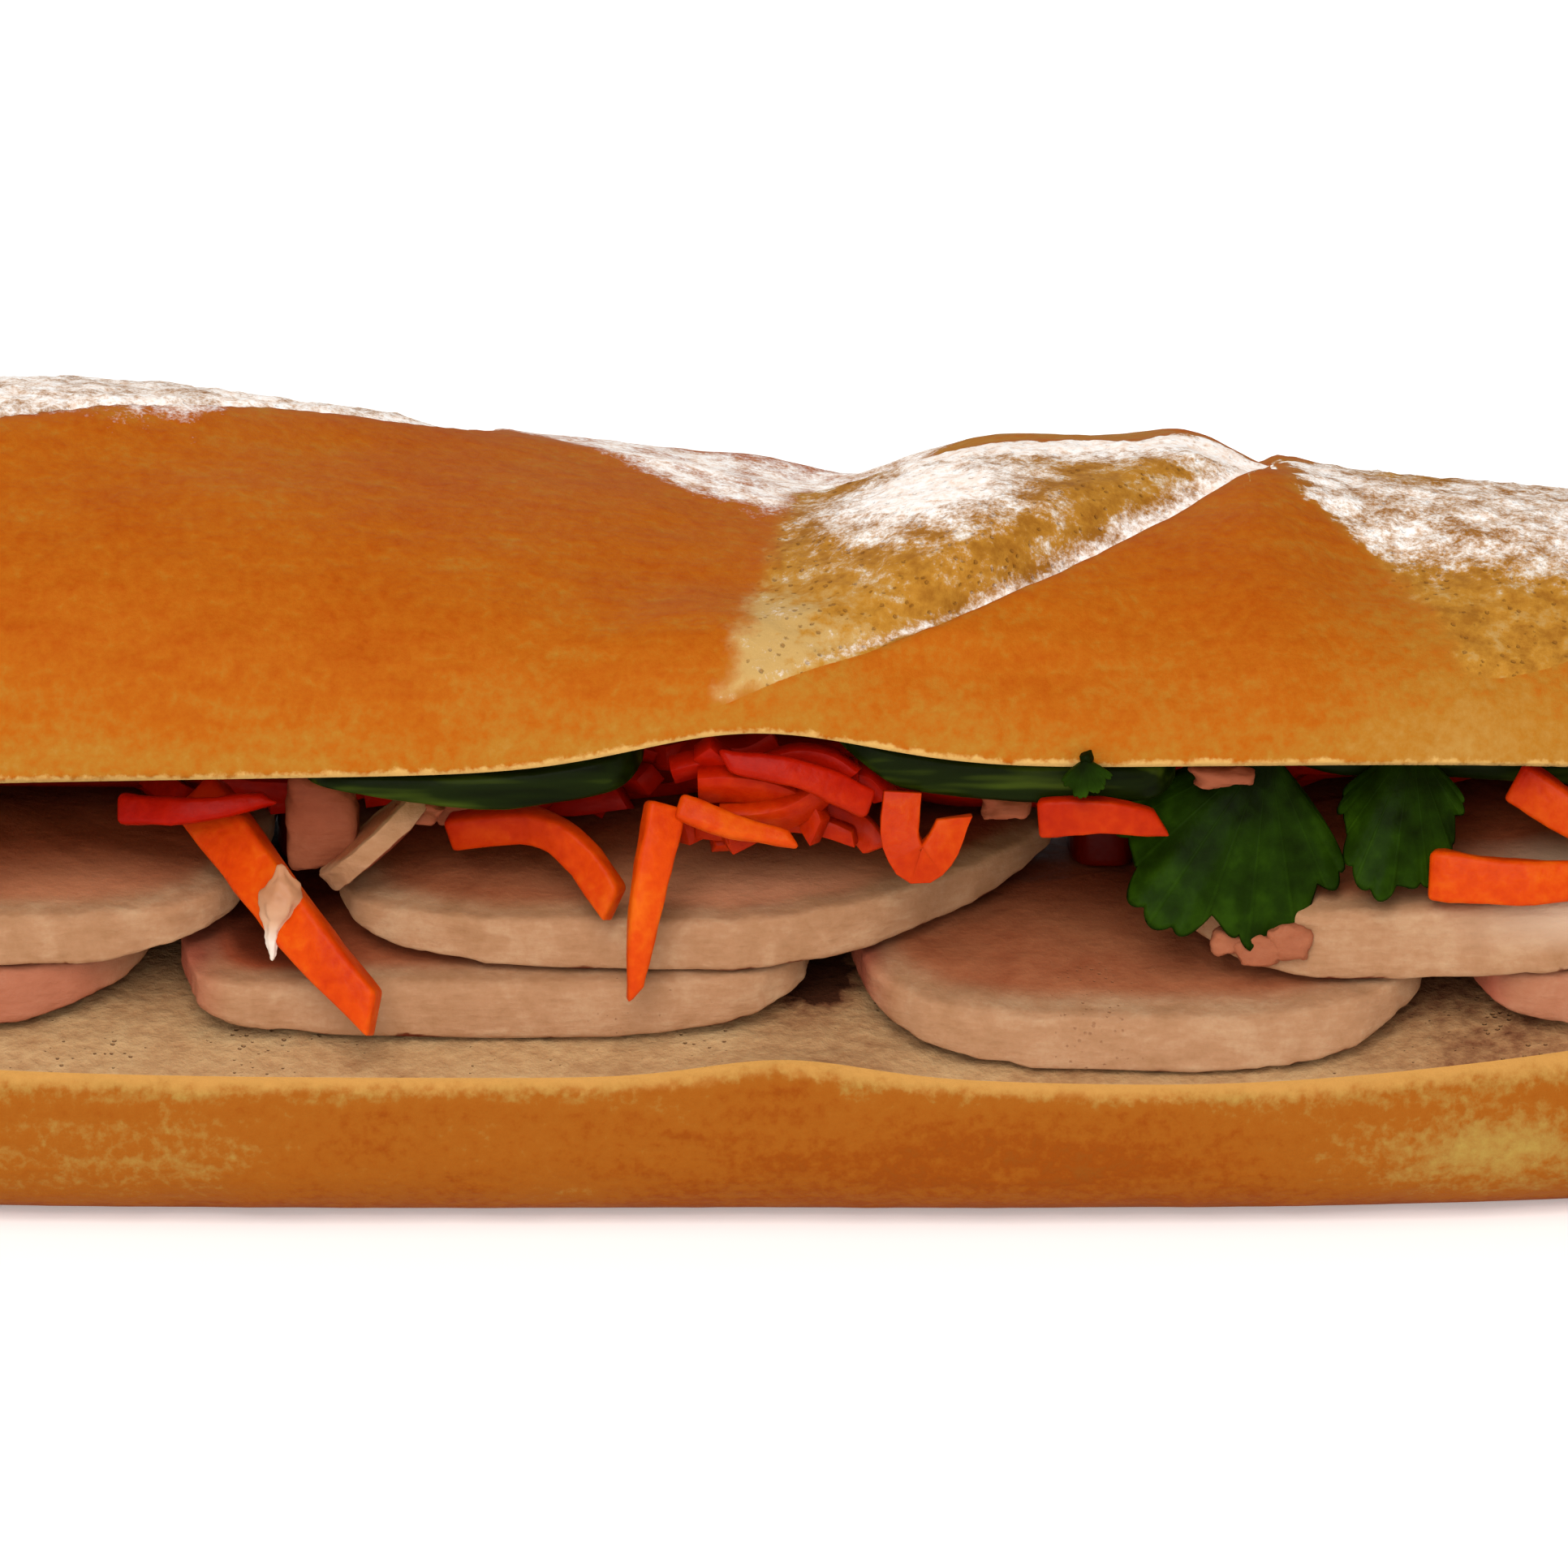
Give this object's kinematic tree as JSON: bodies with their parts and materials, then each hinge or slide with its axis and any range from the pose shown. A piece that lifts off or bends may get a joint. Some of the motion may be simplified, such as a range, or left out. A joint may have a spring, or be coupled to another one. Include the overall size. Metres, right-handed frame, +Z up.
{
  "type": "banh mi sandwich",
  "caption": "Filled baguette sandwich split lengthwise, with sliced roast pork, cucumber, pickled carrot strips and coriander between a domed slashed lid and a flat base.",
  "frame": {"origin": "on the flat underside of the lower half, below the middle of the loaf", "axes": "+X along the loaf, from the left of the shown side to its right; +Z up; the shown side faces -Y"},
  "size_m": [0.27, 0.0812, 0.0778],
  "materials": {
    "crust": "matt baked crust, with pale crumb on the cut faces and a dusting of flour",
    "pork": "moist, satin roast pork",
    "carrot": "wet pickled carrot",
    "cucumber": "dark green skin and pale wet flesh",
    "coriander": "fresh leaf with a soft sheen"
  },
  "bodies": {
    "root": {"bread_base": "crust", "bread_lid": "crust", "pork_lower_1": "pork", "pork_lower_2": "pork", "pork_lower_3": "pork", "pork_lower_4": "pork", "pork_upper_1": "pork", "pork_upper_2": "pork", "pork_upper_3": "pork", "pork_offcut": "pork", "carrot_bed": "carrot", "carrot_clump_1": "carrot", "carrot_clump_2": "carrot", "carrot_strip_1": "carrot", "carrot_strip_2": "carrot", "carrot_strip_3": "carrot", "carrot_strip_4": "carrot", "carrot_strip_5": "carrot", "carrot_strip_6": "carrot", "carrot_strip_7": "carrot", "carrot_strip_8": "carrot", "carrot_strip_9": "carrot", "carrot_strip_10": "carrot", "carrot_strip_11": "carrot", "carrot_strip_12": "carrot", "carrot_strip_13": "carrot", "carrot_strip_14": "carrot", "cucumber_1": "cucumber", "cucumber_2": "cucumber", "cucumber_3": "cucumber", "cucumber_4": "cucumber", "cucumber_5": "cucumber", "cucumber_6": "cucumber", "cucumber_7": "cucumber", "coriander_1": "coriander", "coriander_2": "coriander", "coriander_3": "coriander", "coriander_4": "coriander", "coriander_5": "coriander"}
  },
  "joints": []
}
